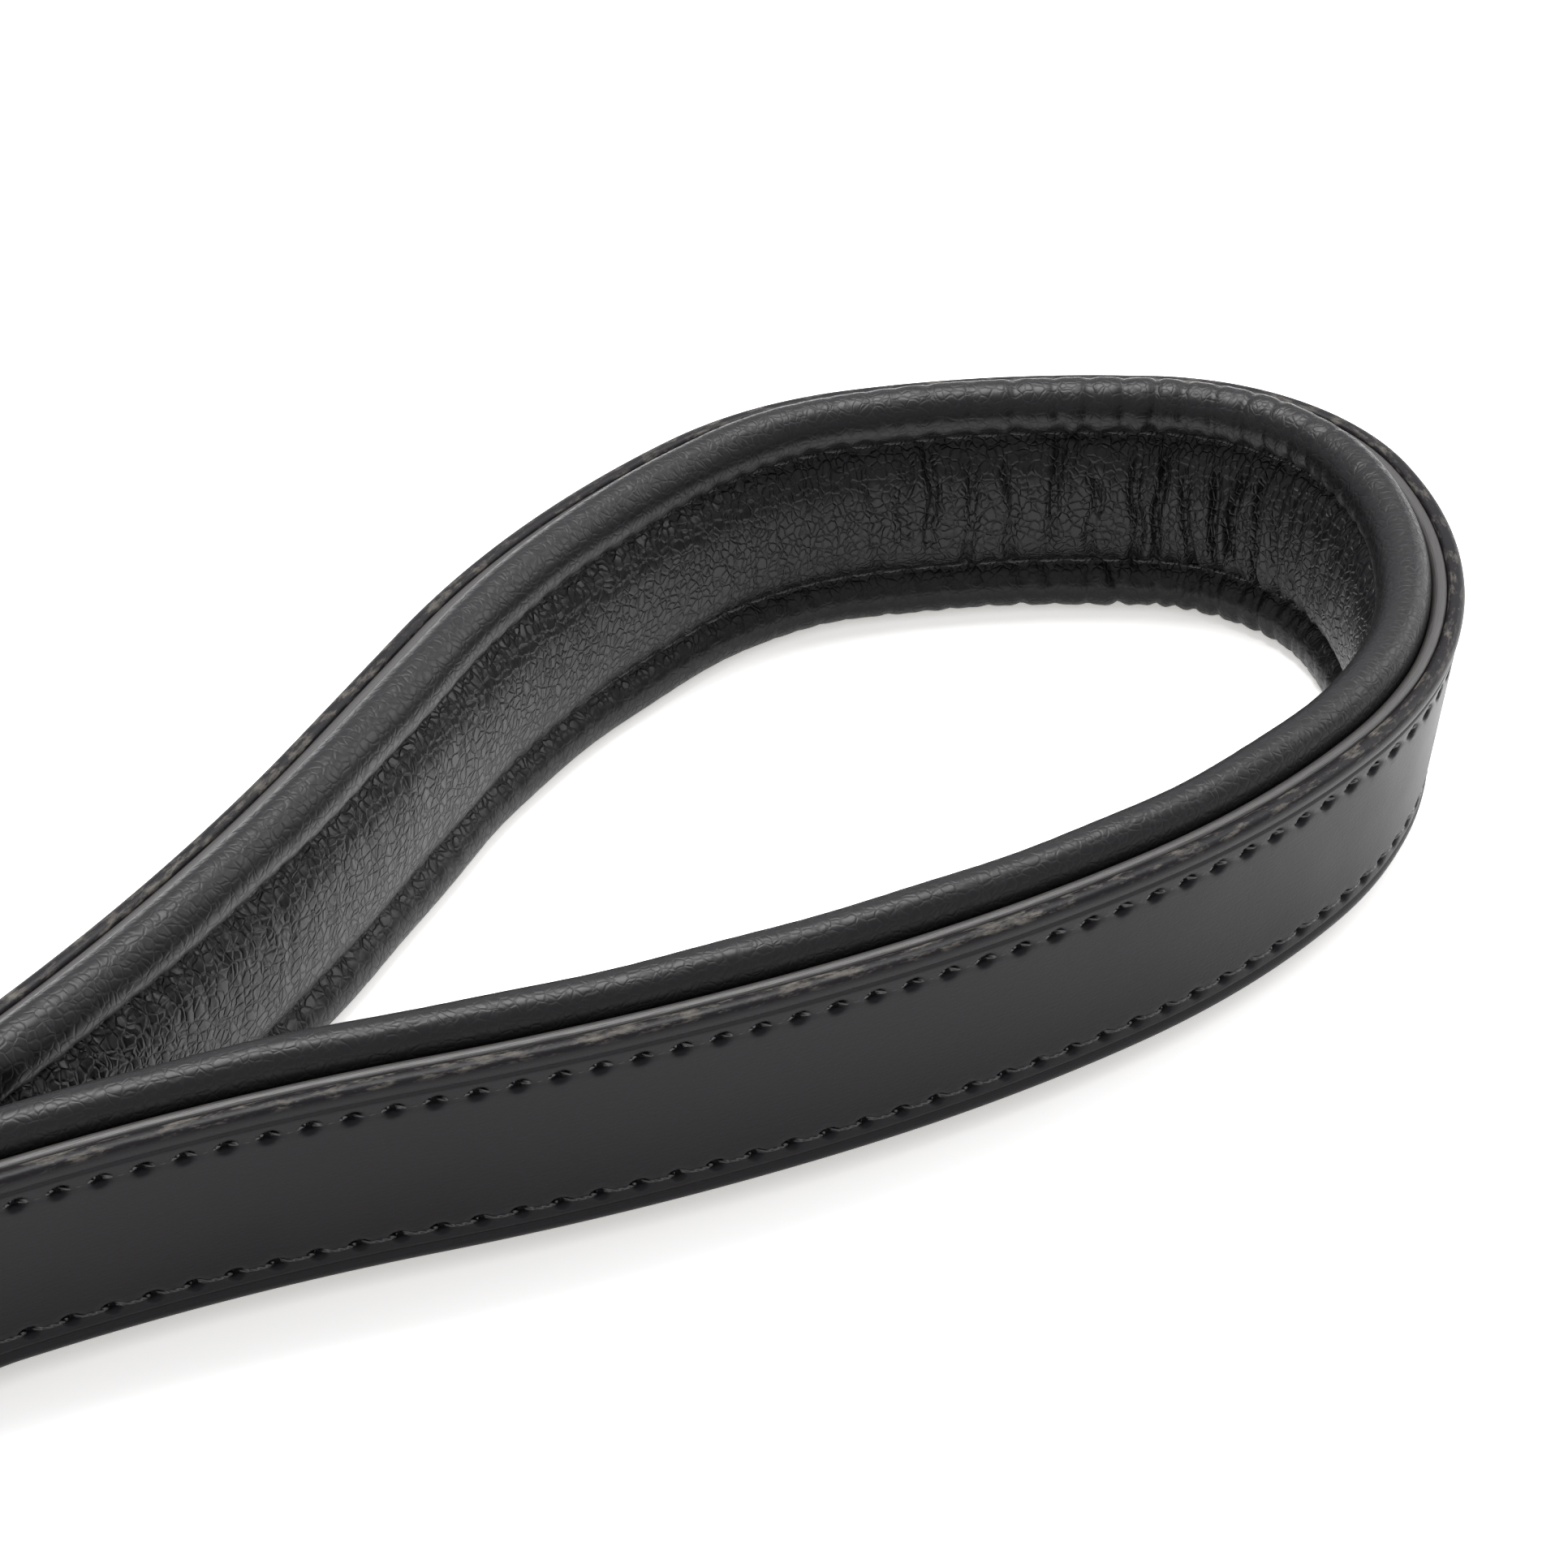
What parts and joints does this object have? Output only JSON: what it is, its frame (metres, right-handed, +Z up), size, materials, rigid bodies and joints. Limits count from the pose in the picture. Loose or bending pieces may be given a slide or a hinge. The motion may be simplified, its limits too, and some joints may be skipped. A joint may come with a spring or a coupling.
{
  "type": "riding crop",
  "caption": "Short riding crop: padded leather hand loop on a swivel bail, wrapped grip, braided shaft and a stitched leather tongue.",
  "frame": {"origin": "bottom centre of the whole crop's box, on the surface that it lies on", "axes": "+X from the tongue towards the hand loop, +Z up, with the loop's strap standing on its long edge"},
  "size_m": [0.7398, 0.0772, 0.024],
  "materials": {
    "bridle_leather": "satin waxed bridle leather, dyed black",
    "bridle_backing": "dyed black, burnished edge",
    "nappa_leather": "soft grained nappa",
    "padding_foam": "closed-cell foam strip",
    "filler_cord": "cotton piping cord",
    "sewing_thread": "bonded waxed thread",
    "nickel_plate": "polished nickel plate",
    "plug_wood": "turned, unfinished",
    "glass_fibre": "pultruded glass-fibre rod",
    "grip_underlay": "foam tube",
    "grip_leather": "wrapped, fine pebble grain",
    "braided_thread": "plaited polyester, waxed",
    "whipping_thread": "wound waxed thread",
    "tongue_leather": "folded bridle leather"
  },
  "bodies": {
    "stick": {"butt_cap": "nickel_plate", "cap_insert": "plug_wood", "cap_pin": "nickel_plate", "core_rod": "glass_fibre", "grip_core": "grip_underlay", "grip_wrap": "grip_leather", "grip_collar": "nickel_plate", "shaft_braid": "braided_thread", "end_whippings": "whipping_thread", "tongue_root": "tongue_leather", "tongue_binding": "whipping_thread"},
    "bail": {"swivel_bail": "nickel_plate", "retaining_washer": "nickel_plate"},
    "loop": {"strap_facing": "bridle_leather", "strap_backing": "bridle_backing", "lining": "nappa_leather", "foam_pad": "padding_foam", "upper_edge_cord": "filler_cord", "lower_edge_cord": "filler_cord", "upper_seam_thread": "sewing_thread", "lower_seam_thread": "sewing_thread", "keeper_band": "bridle_leather", "chape": "bridle_backing", "chape_rivets": "nickel_plate"},
    "tongue": {"tongue_front_leaf": "tongue_leather", "tongue_back_leaf": "tongue_leather", "tongue_seam_thread": "sewing_thread", "tongue_rivet": "nickel_plate"}
  },
  "joints": [
    {"name": "swivel_turn", "type": "hinge", "parent": "stick", "child": "bail", "pos_m": [0.16607, 0.00266, 0.012], "axis": [0.9998, 0, 0.0179], "continuous": true},
    {"name": "loop_swing", "type": "hinge", "parent": "bail", "child": "loop", "pos_m": [0.16607, 0.00266, 0.012], "axis": [0, 0, 1], "range_deg": [-100, 100]},
    {"name": "tongue_flex", "type": "hinge", "parent": "stick", "child": "tongue", "pos_m": [-0.30586, 0.00266, 0.00355], "axis": [0, 1, 0], "range_deg": [-35, 35], "stiffness_Nm_per_rad": 0.5}
  ]
}
